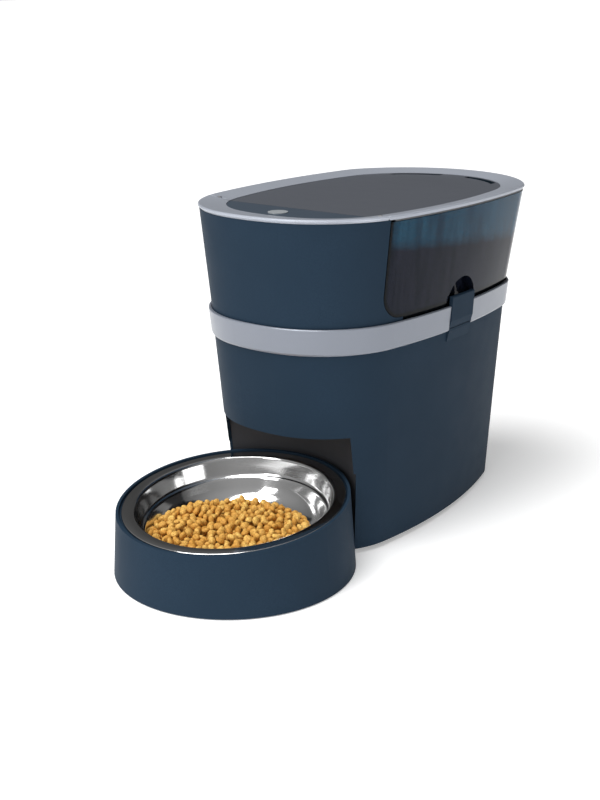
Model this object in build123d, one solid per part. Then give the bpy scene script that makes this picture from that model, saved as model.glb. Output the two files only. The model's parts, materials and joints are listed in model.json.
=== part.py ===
"""Automatic pet feeder with a docked food bowl, as separate sub-parts.

Millimetres, +Z up, front of the feeder towards -Y, left-right symmetry plane at X = 0.
The origin is on the floor, in the middle of the footprint box.
"""
from build123d import *
from collections import namedtuple
from math import acos, atan2, cos, degrees, hypot, pi, radians, sin, sqrt, tan
import os

# Plan outlines
# Each outline is a ring of tangent arcs: a broad front nose, two front corners,
# two long sides, two rear corners and a broad tail.
Outline = namedtuple(
    "Outline", "half_width front rear waist nose_r side_r corner_r tail_r tail_corner_r"
)
rim_line = Outline(115.2, -116.0, 246.5, 68.7, 178.0, 655.0, 98.0, 116.5, 53.0)
band_line = Outline(106.5, -109.6, 232.8, 53.0, 162.8, 586.0, 91.7, 108.2, 51.6)
foot_line = Outline(87.5, -87.7, 228.5, 41.5, 139.0, 503.0, 76.0, 89.5, 40.5)
lid_line = Outline(94.4, -86.3, 226.8, 71.4, 158.0, 478.0, 68.9, 89.1, 43.0)

# Heights
foot_height = 5.0
shoulder_z = 197.0
deck_rise = 18.0
deck_thickness = 3.0
band_height = 24.5
hopper_lip_rise = 3.5
overall_height = 318.0
rim_thickness = 4.0
rim_dip = 3.2
rim_undercut = 1.8
seal_thickness = 1.5

# Walls and clearances
shell_wall = 2.5
base_step = 2.4
neck_inset = 2.0
neck_gap = 0.2
band_taper = 2.4
band_lip_thickness = 2.5
upper_step = 3.5
rim_overhang = 1.2
plinth_step = 5.0
plinth_wall = 2.0
hopper_wall = 2.6
fit_gap = 0.3
part_gap = 0.4
running_gap = 0.05
press_gap = 0.02
plate_thickness = 2.5
screw_r = 1.5
screw_head_r = 3.0
screw_head_height = 1.8

# Seam between the fixed front head and the lift-off hopper
seam_y = -43.0
seam_gap = 0.4
hopper_front_wall = 2.4
window_corner_r = 22.0
bulkhead_thickness = 2.5

# Bowl and its holder
holder_y = -136.2
holder_r = 110.3
holder_top_r = 105.6
holder_height = 65.9
holder_tilt = 5.83
holder_lift = 1.0
holder_wall = 2.6
holder_floor = 2.5
holder_seat_depth = 3.2
holder_seat_width = 9.0
holder_foot_r = 7.0
holder_foot_ring_r = 92.0
dock_gap = 1.3
tongue_width = 40.0
tongue_thickness = 3.0
tongue_reach = 14.0
tongue_rise = 2.0
bowl_flange_r = 101.6
bowl_mouth_r = 90.0
bowl_sheet = 1.0
bowl_depth = 45.0

# Front recess over the bowl
recess_half_width = 76.0
recess_height = 118.4
recess_wall = 2.5
holder_pocket_height = 82.0
liner_gap = 0.2
outlet_half_width = 33.0
outlet_front = -86.0
outlet_rear = -61.0

# Conveyor under the hopper
roller_rise = 18.1
front_roller_y = -44.0
rear_roller_y = 110.0
roller_r = 12.0
roller_length = 65.0
shaft_r = 3.0
belt_thickness = 1.6
belt_width = 66.0
cleat_height = 1.5
cleat_thickness = 1.6
cleat_pitch = 16.0
frame_inner = 34.5
frame_wall = 3.0
frame_rise = 19.0
frame_floor = 2.0
frame_front = -56.0
frame_rear = 153.0
leg_depth = 12.0
front_leg_y = 0.0
leg_pad = 12.0
leg_pad_thickness = 3.0
bushing_r = 5.0
bushing_flange_r = 6.5
bushing_flange = 1.0

# Gear train and motor
gear_module = 1.0
roller_teeth = 40
small_teeth = 14
large_teeth = 36
pinion_teeth = 12
gear_width = 5.0
gear_backlash = 0.2
tooth_addendum = 0.85
tooth_dedendum = 1.2
pressure_angle = 20.0
flank_steps = 5
inner_gear_x = 43.0
outer_gear_x = 49.0
gear_hub_r = 6.0
small_hub_r = 4.0
axle_r = 2.0
axle_end_x = 56.0
motor_shaft_r = 1.5
motor_r = 12.0
motor_length = 44.0
motor_boss_r = 3.9
gear_plate_thickness = 3.0
gear_plate_half = 20.0
gear_plate_drop = 14.0
shaft_stub = 3.5

# Funnel under the hopper
funnel_half_width = 78.0
funnel_front = -28.0
funnel_rear = 190.0
funnel_corner = 40.0
funnel_wall = 2.0
funnel_flange = 6.0
throat_half_width = 30.0
throat_front = 4.0
throat_rear = 118.0
throat_corner = 6.0
throat_rise = 17.5
gate_height = 9.0
hood_rise = 27.0
hood_wall = 2.0
hood_front = -88.0
hood_rear = -6.0

# Side latches
latch_y = 72.0
latch_width = 39.6
latch_rise = 9.0
latch_proud = 0.8
latch_thickness = 3.5
latch_gap = 0.5
latch_axis_rise = 3.8
latch_axis_inset = 1.5
latch_barrel_r = 1.2
latch_pin_r = 0.6
latch_pin_reach = 3.5
fairing_drop = 10.0
notch_half_width = 23.5
notch_rise = 16.0
notch_skirt = 20.0
notch_depth = 12.0
notch_wall = 2.0

# Lid
hinge_pin_r = 0.7
hinge_eye_r = 1.3
bracket_width = 3.2
bracket_inset = 11.5
hinge_pin_length = 6.0
panel_drop = 3.6
panel_thickness = 1.9
ledge_width = 3.0
ledge_thickness = 2.5
grip_depth = 10.0
grip_reach = 11.0
grip_inner_x = 15.0
grip_outer_x = 62.0
grip_wall = 1.5

# Feed button and its board
button_r = 9.0
button_y = -68.5
button_proud = 0.6
button_gap = 0.25
button_flange_r = 10.6
button_flange = 1.4
button_stem_r = 2.0
board_width = 66.0
board_depth = 22.0
board_thickness = 1.6
board_drop = 10.5
boss_r = 2.6
switch_size = 6.0
switch_height = 3.0
plunger_r = 1.5
press_travel = 0.8

# Batteries, boards and inlet in the base
cell_r = 16.4
cell_length = 59.3
cell_nub_r = 4.7
cell_nub = 1.5
cell_row_pitch = 35.0
battery_half_width = 64.0
battery_front = 61.0
battery_rear = 137.0
battery_top = 43.0
battery_wall = 2.0
door_margin = 1.0
door_barrel_r = 1.1
door_pin_r = 0.7
door_pin_reach = 2.0
door_grip_half = 12.0
main_board_front = 20.0
main_board_rear = 90.0
main_board_drop = 13.0
main_board_height = 30.0
chip_height = 1.6
module_height = 2.6
standoff = 4.5
inlet_rise = 8.5
inlet_r = 5.2
inlet_hole_r = 3.2
foot_r = 7.0
post_r = 4.5
front_post_y = 12.0
rear_post_y = 150.0
post_height = 14.0

# Heights and places that follow from the sizes above
base_top = foot_height + plate_thickness
tongue_z = base_top + tongue_rise
inlet_z = foot_height + inlet_rise
shoulder_step = band_taper + base_step
neck_step = shoulder_step + neck_inset
band_depth = neck_step - neck_gap
rim_bottom = overall_height - rim_thickness
band_top = shoulder_z + band_height
deck_z = shoulder_z + deck_rise
hopper_lip_z = band_top + hopper_lip_rise
latch_axis_z = shoulder_z + latch_axis_rise
latch_axis_x = -latch_axis_inset - band_taper * (1 - latch_axis_rise / band_height)
latch_top = band_top + latch_rise
notch_top = latch_top + notch_rise
roller_z = recess_height + recess_wall + roller_rise
frame_top = roller_z + frame_rise
throat_z = roller_z + throat_rise
hood_top = roller_z + hood_rise
main_board_bottom = roller_z - main_board_drop
main_board_top = main_board_bottom + main_board_height
hinge_z = overall_height - rim_thickness / 2
panel_top = overall_height - panel_drop
frame_outer = frame_inner + frame_wall
door_front = battery_front - door_margin
door_axis_y = door_front + part_gap + door_barrel_r
door_axis_z = foot_height + door_barrel_r
upper_bottom = deck_z + deck_thickness
hopper_top = rim_bottom - seal_thickness - fit_gap
panel_bottom = panel_top - panel_thickness
board_z = panel_bottom - board_drop
far = 400.0


# Outlines and solids made from them
def corner_centre(small, large, small_reach, large_reach, towards_rear):
    """Centre of a corner arc that lies inside two larger arcs and touches both."""
    dx = large[0] - small[0]
    dy = large[1] - small[1]
    distance = hypot(dx, dy)
    along = (small_reach**2 - large_reach**2 + distance**2) / (2 * distance)
    across = sqrt(small_reach**2 - along**2)
    side = 1 if towards_rear else -1
    ux = dx / distance
    uy = dy / distance
    foot = (small[0] + along * ux, small[1] + along * uy)
    candidates = [
        (foot[0] - uy * across, foot[1] + ux * across),
        (foot[0] + uy * across, foot[1] - ux * across),
    ]
    return max(candidates, key=lambda point: point[0] + side * point[1])


def arc_centres(line):
    """Centres of the nose, front corner, side, rear corner and tail arcs, for X > 0."""
    nose = (0.0, line.front + line.nose_r)
    side = (line.half_width - line.side_r, line.waist)
    tail = (0.0, line.rear - line.tail_r)
    front_reach = (line.nose_r - line.corner_r, line.side_r - line.corner_r)
    rear_reach = (line.tail_r - line.tail_corner_r, line.side_r - line.tail_corner_r)
    corner = corner_centre(nose, side, *front_reach, False)
    tail_corner = corner_centre(tail, side, *rear_reach, True)
    return nose, corner, side, tail_corner, tail


def heading(start, end):
    """Direction from one point to another, in degrees."""
    return degrees(atan2(end[1] - start[1], end[0] - start[0]))


def outline_face(line, z=0.0, inset=0.0):
    """Flat face inside an outline, with every wall moved in by inset."""
    nose, corner, side, tail_corner, tail = arc_centres(line)
    turn = [
        heading(nose, corner),
        heading(side, corner),
        heading(side, tail_corner),
        heading(tail, tail_corner),
    ]

    def arc(centre, radius, start, end):
        return CenterArc(centre, radius - inset, start, end - start)

    def mirrored(centre):
        return (-centre[0], centre[1])

    arcs = [
        arc(nose, line.nose_r, -180 - turn[0], turn[0]),
        arc(corner, line.corner_r, turn[0], turn[1]),
        arc(side, line.side_r, turn[1], turn[2]),
        arc(tail_corner, line.tail_corner_r, turn[2], turn[3]),
        arc(tail, line.tail_r, turn[3], 180 - turn[3]),
        arc(mirrored(tail_corner), line.tail_corner_r, 180 - turn[3], 180 - turn[2]),
        arc(mirrored(side), line.side_r, 180 - turn[2], 180 - turn[1]),
        arc(mirrored(corner), line.corner_r, 180 - turn[1], 180 - turn[0]),
    ]
    return Pos(0, 0, z) * make_face(Curve() + arcs).face()


def tower(*levels):
    """Solid that runs straight between outlines, each given as (line, z, inset)."""
    return loft([outline_face(*level) for level in levels], ruled=True)


def slab(line, bottom, top, inset=0.0):
    """Upright plate with the shape of one outline."""
    return extrude(outline_face(line, bottom, inset), top - bottom)


def width_at(line, y, inset=0.0):
    """Half-width of an outline at one y, on its front corner or its side."""
    corner = arc_centres(line)[1]
    side = arc_centres(line)[2]
    turn = side[1] + (corner[1] - side[1]) * line.side_r / (line.side_r - line.corner_r)
    if y < turn:
        return corner[0] + sqrt((line.corner_r - inset) ** 2 - (y - corner[1]) ** 2)
    return side[0] + sqrt((line.side_r - inset) ** 2 - (y - side[1]) ** 2)


def block(x0, x1, y0, y1, z0, z1):
    """Box between two corners."""
    return Pos((x0 + x1) / 2, (y0 + y1) / 2, (z0 + z1) / 2) * Box(x1 - x0, y1 - y0, z1 - z0)


def rounded_block(half_x, y0, y1, z0, z1, radius):
    """Box centred on X = 0 with rounded upright edges."""
    plan = Pos(0, (y0 + y1) / 2, z0) * RectangleRounded(2 * half_x, y1 - y0, radius)
    return extrude(plan, z1 - z0)


def upright(x, y, z0, z1, radius):
    """Cylinder along Z."""
    return Pos(x, y, (z0 + z1) / 2) * Cylinder(radius, z1 - z0)


def cross_rod(x0, x1, y, z, radius):
    """Cylinder along X."""
    return Pos((x0 + x1) / 2, y, z) * Rot(0, 90, 0) * Cylinder(radius, x1 - x0)


def both_sides(shape):
    """A shape and its mirror image across X = 0."""
    return [shape, mirror(shape, Plane.YZ)]


def group(*shapes):
    """Separate solids kept together as one node."""
    return Compound(children=[solid for shape in shapes for solid in shape.solids()])


# Latch geometry, in a frame that stands on the band's side
band_side = arc_centres(band_line)[2]
latch_back = latch_y - band_side[1]
latch_turn = degrees(atan2(latch_back, sqrt(band_line.side_r**2 - latch_back**2)))
latch_x = width_at(band_line, latch_y)
latch_frame = Pos(latch_x, latch_y, 0) * Rot(0, 0, latch_turn)


def on_latch(shape):
    """Places a shape drawn with X outwards from the band at the right-hand latch."""
    return latch_frame * shape


# Base housing
upper_outer = tower((band_line, upper_bottom, upper_step), (rim_line, rim_bottom, rim_overhang))
holder_pocket = upright(0, holder_y, -1, holder_pocket_height, holder_r + dock_gap)
recess_round = upright(0, holder_y, -1, recess_height, holder_r + dock_gap)
recess_void = recess_round & block(-recess_half_width, recess_half_width, -far, 0, -1, recess_height)


def posts():
    """Centres of the four screw posts inside the base housing."""
    centres = []
    for y in (front_post_y, rear_post_y):
        x = width_at(foot_line, y, shell_wall) - post_r + 1.0
        centres += [(x, y), (-x, y)]
    return centres


def base_shell():
    outer = tower((foot_line, foot_height, 0), (band_line, shoulder_z, shoulder_step))
    neck = tower((band_line, shoulder_z, neck_step), (band_line, deck_z, neck_step))
    inner = tower(
        (foot_line, foot_height - 1, shell_wall),
        (band_line, shoulder_z - 4, shoulder_step + shell_wall),
        (band_line, shoulder_z, neck_step + shell_wall),
        (band_line, deck_z + 1, neck_step + shell_wall),
    )
    shell = outer + neck - inner
    for x, y in posts():
        shell += upright(x, y, base_top, base_top + post_height, post_r) & outer
        shell -= upright(x, y, base_top - 1, base_top + post_height - 2, screw_r + press_gap)
    fairing_top = latch_axis_z - latch_barrel_r - fit_gap
    fairing = Polyline(
        (-band_depth - 1, fairing_top),
        (-band_taper - fit_gap, fairing_top),
        (-band_taper - fit_gap, shoulder_z),
        (-shoulder_step - fit_gap, shoulder_z - fairing_drop),
        (-band_depth - 1, shoulder_z - fairing_drop),
        close=True,
    )
    profile = Plane.XZ * make_face(fairing)
    wedge = on_latch(Pos(0, latch_width / 2, 0) * extrude(profile, latch_width))
    for side_wedge in both_sides(wedge):
        shell += side_wedge
    shell -= recess_void + holder_pocket
    inlet_bore = Pos(0, far / 2, inlet_z) * Rot(90, 0, 0) * Cylinder(inlet_r + fit_gap, far)
    return shell - inlet_bore


def recess_liner():
    """Ceiling, curved rear wall and side walls of the front recess."""
    outer = upright(0, holder_y, base_top, recess_height + recess_wall, holder_r + dock_gap + recess_wall)
    side = recess_half_width + recess_wall
    outer &= block(-side, side, -far, 0, 0, far)
    inset = shell_wall + liner_gap
    room = tower((foot_line, foot_height - 1, inset), (band_line, shoulder_z, shoulder_step + inset))
    liner = (outer & room) - recess_void - holder_pocket
    liner -= block(-outlet_half_width, outlet_half_width, outlet_front, outlet_rear, 0, far)
    half = tongue_width / 2 + part_gap
    liner -= block(-half, half, -far, 0, tongue_z - part_gap, tongue_z + tongue_thickness + part_gap)
    return liner


def base_plate():
    plate = slab(foot_line, foot_height, base_top, shell_wall + fit_gap)
    plate -= upright(0, holder_y, 0, far, holder_r + dock_gap + recess_wall + fit_gap)
    edge = battery_half_width + door_margin
    plate -= block(-edge, edge, door_front, battery_rear, 0, far)
    socket = edge + door_pin_reach
    plate -= cross_rod(-socket, socket, door_axis_y, door_axis_z, door_pin_r + running_gap)
    for x, y in posts() + leg_centres():
        plate -= upright(x, y, 0, far, screw_r + press_gap)
        plate -= upright(x, y, 0, foot_height + screw_head_height, screw_head_r + part_gap)
    return plate


def screw(x, y):
    """Screw driven up through the base plate, with its head sunk in the plate."""
    head_top = foot_height + screw_head_height
    head = upright(x, y, foot_height, head_top, screw_head_r)
    shank = upright(x, y, head_top, base_top + 8, screw_r)
    return head + shank


def rubber_feet():
    spots = []
    for x, y in posts():
        outward = 1 if x > 0 else -1
        away = 14 if y > holder_y + 200 else -2
        spots.append(upright(x - outward * 12, y + away, 0, foot_height, foot_r))
    return group(*spots)


# Silver band round the neck
def band_lean(z):
    """How far the band's outer face has moved in at a height below its top edge."""
    return band_taper * (band_top - z) / band_height


def band():
    outer = tower(
        (band_line, shoulder_z, band_taper + 1.5),
        (band_line, shoulder_z + 0.6, band_lean(shoulder_z + 0.6) + 0.6),
        (band_line, shoulder_z + 2.0, band_lean(shoulder_z + 2.0)),
        (band_line, band_top - 0.8, band_lean(band_top - 0.8)),
        (band_line, band_top, 0.7),
    )
    neck = slab(band_line, shoulder_z - 1, upper_bottom, band_depth)
    mouth = slab(band_line, upper_bottom, band_top + 1, band_lip_thickness)
    ring = outer - neck - mouth
    half = latch_width / 2 + latch_gap
    gap = block(-20, 20, -half, half, shoulder_z - 1, band_top + 1)
    reach = half + latch_pin_reach
    hinge_line = Pos(latch_axis_x, 0, latch_axis_z) * Rot(90, 0, 0)
    bore = hinge_line * Cylinder(latch_pin_r + press_gap, 2 * reach)
    for cutter in both_sides(on_latch(gap)) + both_sides(on_latch(bore)):
        ring -= cutter
    return ring.solids().sort_by(Axis.Y)


def latch():
    """Right-hand hopper latch: a plate that swings out on a pin at its foot."""
    half = latch_width / 2
    foot = latch_axis_z
    inner_x = latch_proud - latch_thickness
    profile = Polyline(
        (latch_axis_x - latch_barrel_r, foot),
        (inner_x - band_lean(foot + 3), foot + 3),
        (inner_x, latch_top),
        (latch_proud - 1.0, latch_top),
        (latch_proud, latch_top - 1.0),
        (latch_proud - band_lean(foot + 6), foot + 6),
        (latch_axis_x + latch_barrel_r, foot),
        close=True,
    )
    plate = Pos(0, half, 0) * extrude(Plane.XZ * make_face(profile), latch_width)
    turned = Pos(latch_axis_x, 0, foot) * Rot(90, 0, 0)
    plate += turned * Cylinder(latch_barrel_r, latch_width)
    plate -= turned * Cylinder(latch_pin_r + running_gap, latch_width + 2)
    return on_latch(plate)


def latch_pin():
    length = latch_width + 2 * (latch_gap + latch_pin_reach - 0.2)
    hinge_line = Pos(latch_axis_x, 0, latch_axis_z) * Rot(90, 0, 0)
    return on_latch(hinge_line * Cylinder(latch_pin_r, length))


# Deck and funnel
def deck_plate():
    plate = slab(band_line, deck_z, upper_bottom, neck_step)
    hole = rounded_block(
        funnel_half_width + funnel_wall + fit_gap,
        funnel_front - funnel_wall - fit_gap,
        funnel_rear + funnel_wall + fit_gap,
        deck_z - 1,
        upper_bottom + 1,
        funnel_corner,
    )
    return plate - hole


def funnel_shape(grow, bottom, top):
    """Tapered body from the hopper floor down to the belt."""
    half = funnel_half_width + grow
    upper = Pos(0, (funnel_front + funnel_rear) / 2, top) * RectangleRounded(
        2 * half, funnel_rear - funnel_front + 2 * grow, funnel_corner
    )
    lower = Pos(0, (throat_front + throat_rear) / 2, bottom) * RectangleRounded(
        2 * (throat_half_width + grow), throat_rear - throat_front + 2 * grow, throat_corner
    )
    return loft([lower.face(), upper.face()], ruled=True)


def feed_funnel():
    body = funnel_shape(funnel_wall, throat_z, deck_z)
    collar = rounded_block(
        funnel_half_width + funnel_wall,
        funnel_front - funnel_wall,
        funnel_rear + funnel_wall,
        deck_z,
        upper_bottom,
        funnel_corner,
    )
    flange = rounded_block(
        funnel_half_width + funnel_flange,
        funnel_front - funnel_flange,
        funnel_rear + funnel_flange,
        upper_bottom,
        upper_bottom + funnel_wall,
        funnel_corner + funnel_flange,
    )
    mouth = rounded_block(
        funnel_half_width,
        funnel_front,
        funnel_rear,
        deck_z,
        upper_bottom + funnel_wall + 1,
        funnel_corner,
    )
    hollow = funnel_shape(0, throat_z, deck_z)
    gate_half = throat_half_width - funnel_wall
    gate_rear = throat_front + 8
    gate = block(-gate_half, gate_half, -far, gate_rear, 0, throat_z + gate_height)
    return body + collar + flange - mouth - hollow - gate


def discharge_hood():
    """Cover over the front of the belt, open below its front end."""
    outer_x = frame_inner + hood_wall
    outer = block(-outer_x, outer_x, hood_front, hood_rear, recess_height + recess_wall, hood_top)
    outer -= block(-far, far, frame_front - part_gap, far, 0, frame_top)
    inner = block(-frame_inner, frame_inner, hood_front + hood_wall, far, 0, hood_top - hood_wall)
    return outer - inner


# Conveyor
def leg_centres():
    """Screw positions under the four legs of the conveyor frame."""
    x = frame_outer + leg_pad / 2
    rear = frame_rear - leg_depth / 2
    return [(side * x, y) for side in (1, -1) for y in (front_leg_y + leg_depth / 2, rear)]


def conveyor_frame():
    floor_z = recess_height + recess_wall
    outer_x = frame_outer
    frame = block(-outer_x, outer_x, frame_front, frame_rear, floor_z, floor_z + frame_floor)
    for side in (1, -1):
        inner, outer = sorted((side * frame_inner, side * outer_x))
        frame += block(inner, outer, frame_front, frame_rear, floor_z, frame_top)
        for leg_front in (front_leg_y, frame_rear - leg_depth):
            frame += block(inner, outer, leg_front, leg_front + leg_depth, base_top, floor_z)
            pad_inner, pad_outer = sorted((side * frame_inner, side * (outer_x + leg_pad)))
            pad_top = base_top + leg_pad_thickness
            frame += block(pad_inner, pad_outer, leg_front, leg_front + leg_depth, base_top, pad_top)
    for x, y in leg_centres():
        frame += upright(x, y, base_top, base_top + 9, leg_pad / 2 - 1)
        frame -= upright(x, y, base_top - 1, base_top + 8.5, screw_r + press_gap)
    for y in (front_roller_y, rear_roller_y):
        frame -= cross_rod(-far, far, y, roller_z, bushing_r + press_gap)
    for y, z in board_corners():
        frame += cross_rod(-outer_x - standoff, -outer_x, y, z, boss_r)
    return frame


def board_corners():
    """Standoffs of the main board on the left side of the frame."""
    ends = (main_board_front + 5, main_board_rear - 5)
    return [(y, z) for y in ends for z in (main_board_bottom + 5, main_board_top - 5)]


def belt_point(distance):
    """Point (y, z) and outward angle on the belt's outer face, by distance along it."""
    outer = roller_r + fit_gap + belt_thickness
    run = rear_roller_y - front_roller_y
    bend = pi * outer
    distance %= 2 * run + 2 * bend
    if distance < run:
        return front_roller_y + distance, roller_z + outer, 90.0
    distance -= run
    if distance < bend:
        angle = pi / 2 - distance / outer
        return rear_roller_y + outer * cos(angle), roller_z + outer * sin(angle), degrees(angle)
    distance -= bend
    if distance < run:
        return rear_roller_y - distance, roller_z - outer, -90.0
    angle = -pi / 2 - (distance - run) / outer
    return front_roller_y + outer * cos(angle), roller_z + outer * sin(angle), degrees(angle)


def belt_loop(radius, half_width):
    """Solid with rounded ends that fills the loop of the belt."""
    bottom = roller_z - radius
    middle = block(-half_width, half_width, front_roller_y, rear_roller_y, bottom, bottom + 2 * radius)
    for y in (front_roller_y, rear_roller_y):
        middle += cross_rod(-half_width, half_width, y, roller_z, radius)
    return middle


def conveyor_belt():
    inner = roller_r + fit_gap
    belt = belt_loop(inner + belt_thickness, belt_width / 2) - belt_loop(inner, belt_width)
    outer = inner + belt_thickness
    length = 2 * (rear_roller_y - front_roller_y) + 2 * pi * outer
    count = round(length / cleat_pitch)
    cleat = Box(belt_width, cleat_height + 0.6, cleat_thickness)
    for index in range(count):
        y, z, angle = belt_point((index + 0.5) * length / count)
        reach = cleat_height / 2 - 0.3
        place = Pos(0, y, z) * Rot(angle, 0, 0) * Pos(0, reach, 0)
        belt += place * cleat
    return belt


def roller(y):
    body = cross_rod(-roller_length / 2, roller_length / 2, y, roller_z, roller_r)
    return body - cross_rod(-far, far, y, roller_z, shaft_r + press_gap)


def roller_bushings():
    shapes = []
    for y in (front_roller_y, rear_roller_y):
        outer_x = frame_outer
        bush = cross_rod(frame_inner, outer_x, y, roller_z, bushing_r)
        bush += cross_rod(frame_inner - bushing_flange, frame_inner, y, roller_z, bushing_flange_r)
        bush -= cross_rod(0, far, y, roller_z, shaft_r + running_gap)
        shapes += both_sides(bush)
    return group(*shapes)


# Gears
def gear(teeth, x0, tooth_at):
    """Spur gear along X with involute flanks; tooth_at is the angle of one tooth, in degrees."""
    pitch_r = gear_module * teeth / 2
    base_r = pitch_r * cos(radians(pressure_angle))
    tip_r = pitch_r + tooth_addendum * gear_module
    root_r = pitch_r - tooth_dedendum * gear_module
    start_r = max(base_r, root_r)

    def roll(radius):
        if radius <= base_r:
            return 0.0
        unwound = acos(base_r / radius)
        return tan(unwound) - unwound

    tooth_width = (pi * gear_module / 2 - gear_backlash) / 2
    half_tooth = tooth_width / pitch_r + roll(pitch_r)
    flank = [start_r + (tip_r - start_r) * step / flank_steps for step in range(flank_steps + 1)]
    points = []
    for tooth in range(teeth):
        centre = radians(tooth_at) + 2 * pi * tooth / teeth
        rising = [(radius, centre - half_tooth + roll(radius)) for radius in flank]
        falling = [(radius, centre + half_tooth - roll(radius)) for radius in reversed(flank)]
        ends = [(root_r, centre - half_tooth)], [(root_r, centre + half_tooth)]
        for radius, angle in ends[0] + rising + falling + ends[1]:
            points.append((radius * cos(angle), radius * sin(angle)))
    wheel = extrude(make_face(Polyline(*points, close=True)), gear_width)
    return Pos(x0, 0, 0) * (Plane.YZ * wheel)


compound_z = roller_z - gear_module * (roller_teeth + small_teeth) / 2
motor_z = compound_z - gear_module * (large_teeth + pinion_teeth) / 2


def at_gear(shape, z):
    return Pos(0, rear_roller_y, z) * shape


def roller_gear():
    hub = cross_rod(frame_outer + gear_plate_thickness + 0.5, outer_gear_x, 0, 0, gear_hub_r)
    wheel = gear(roller_teeth, outer_gear_x, -90.0) + hub
    return at_gear(wheel - cross_rod(0, far, 0, 0, shaft_r + press_gap), roller_z)


def compound_gear():
    hub_start = frame_outer + gear_plate_thickness + fit_gap
    wheel = gear(large_teeth, inner_gear_x, -90.0)
    wheel += gear(small_teeth, outer_gear_x, 90.0 + 180.0 / small_teeth)
    wheel += cross_rod(hub_start, outer_gear_x, 0, 0, small_hub_r)
    return at_gear(wheel - cross_rod(0, far, 0, 0, axle_r + running_gap), compound_z)


def motor_pinion():
    wheel = gear(pinion_teeth, inner_gear_x, 90.0 + 180.0 / pinion_teeth)
    return at_gear(wheel - cross_rod(0, far, 0, 0, motor_shaft_r + press_gap), motor_z)


def gear_plate():
    x0 = frame_outer
    x1 = x0 + gear_plate_thickness
    y0 = rear_roller_y - gear_plate_half
    y1 = rear_roller_y + gear_plate_half
    plate = block(x0, x1, y0, y1, motor_z - gear_plate_drop, frame_top)
    plate -= cross_rod(0, far, rear_roller_y, roller_z, bushing_r + part_gap)
    plate -= cross_rod(0, far, rear_roller_y, compound_z, axle_r + press_gap)
    plate -= cross_rod(0, far, rear_roller_y, motor_z, motor_boss_r + fit_gap)
    for y, z in plate_screws():
        plate -= cross_rod(0, far, y, z, screw_r + press_gap)
    return plate


def plate_screws():
    """Screws that hold the gear plate to the frame, clear of the gears."""
    z = frame_top - 5
    return [(rear_roller_y - gear_plate_half + 4, z), (rear_roller_y + gear_plate_half - 4, z)]


def gear_plate_screws():
    shapes = []
    x1 = frame_outer + gear_plate_thickness
    for y, z in plate_screws():
        head = cross_rod(x1, x1 + screw_head_height, y, z, screw_head_r)
        shapes.append(head + cross_rod(x1 - 2.5, x1, y, z, screw_r))
    return group(*shapes)


def gear_axle():
    x0 = frame_outer
    return at_gear(cross_rod(x0, axle_end_x, 0, 0, axle_r), compound_z)


def gear_motor():
    x1 = frame_outer
    can = cross_rod(x1 - motor_length, x1, 0, 0, motor_r)
    can += cross_rod(x1, x1 + 2.5, 0, 0, motor_boss_r)
    can -= cross_rod(x1 - 8, x1 + 3, 0, 0, motor_shaft_r + running_gap)
    return at_gear(can, motor_z)


def motor_shaft():
    x1 = frame_outer
    return at_gear(cross_rod(x1 - 7.5, inner_gear_x + gear_width, 0, 0, motor_shaft_r), motor_z)


# Upper front head
def window_profile(offset):
    """Side view of the hopper window, grown by offset, as a face in the YZ plane."""
    front = seam_y - offset
    bottom = hopper_lip_z - offset
    radius = window_corner_r + offset
    outline = [
        Line((front, far), (front, bottom + radius)),
        CenterArc((front + radius, bottom + radius), radius, 180, 90),
        Line((front + radius, bottom), (far, bottom)),
        Line((far, bottom), (far, far)),
        Line((far, far), (front, far)),
    ]
    return Plane.YZ * make_face(Curve() + outline).face()


def window_solid(offset):
    return Pos(-far / 2, 0, 0) * extrude(window_profile(offset), far)


def upper_room(gap):
    """Space inside the wall of the upper front shell, less a gap."""
    inset = shell_wall + gap
    low = (band_line, upper_bottom - 1, upper_step + inset)
    return tower(low, (rim_line, rim_bottom + 1, rim_overhang + inset))


def plinth_tower(gap):
    """Recessed foot of the hopper, grown by a gap."""
    inset = plinth_step - gap
    return tower((band_line, upper_bottom, inset), (rim_line, rim_bottom, inset - 2))


def front_shell():
    back = seam_y - seam_gap
    reach = seam_y + window_corner_r + 4
    shell = upper_outer - upper_room(0)
    shell &= block(-far, far, -far, reach, 0, far)
    shell -= window_solid(seam_gap)
    shell -= plinth_tower(fit_gap) & block(-far, far, back, far, 0, far)
    wall_top = panel_bottom - part_gap
    wall = upper_outer & block(-far, far, back - bulkhead_thickness, back, upper_bottom, wall_top)
    return shell + wall


def front_rim():
    ring = rim_ring() & block(-far, far, -far, seam_y - rim_thickness / 2 - seam_gap, 0, far)
    back = seam_y - rim_thickness / 2 - seam_gap
    under = slab(rim_line, panel_bottom - ledge_thickness, rim_bottom) & upper_room(fit_gap)
    under -= slab(lid_line, 0, far, ledge_width)
    under -= slab(lid_line, panel_bottom, far)
    front_only = block(-far, far, -far, back - 1, 0, far)
    return ring + (under & front_only)


def rim_ring():
    """Whole silver rim before it is parted at the seam: it slopes inwards from a thin, softened edge."""
    body = tower(
        (rim_line, rim_bottom, rim_undercut),
        (rim_line, rim_bottom + 1.4, rim_undercut),
        (rim_line, rim_bottom + 1.9, 0),
        (rim_line, overall_height - 1.2, 0),
        (rim_line, overall_height - 0.4, 0.4),
        (rim_line, overall_height, 1.2),
    )
    body -= tower((lid_line, overall_height - rim_dip, 0), (rim_line, overall_height + 0.2, 0.1))
    return body - slab(lid_line, rim_bottom - 1, far)


def control_panel():
    back = seam_y - seam_gap * 2
    panel = slab(lid_line, panel_bottom, panel_top, part_gap) & block(-far, far, -far, back, 0, far)
    panel -= upright(0, button_y, 0, far, button_r + button_gap)
    for x, y in boss_centres():
        panel += upright(x, y, board_z + board_thickness, panel_bottom, boss_r)
    return panel


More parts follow.
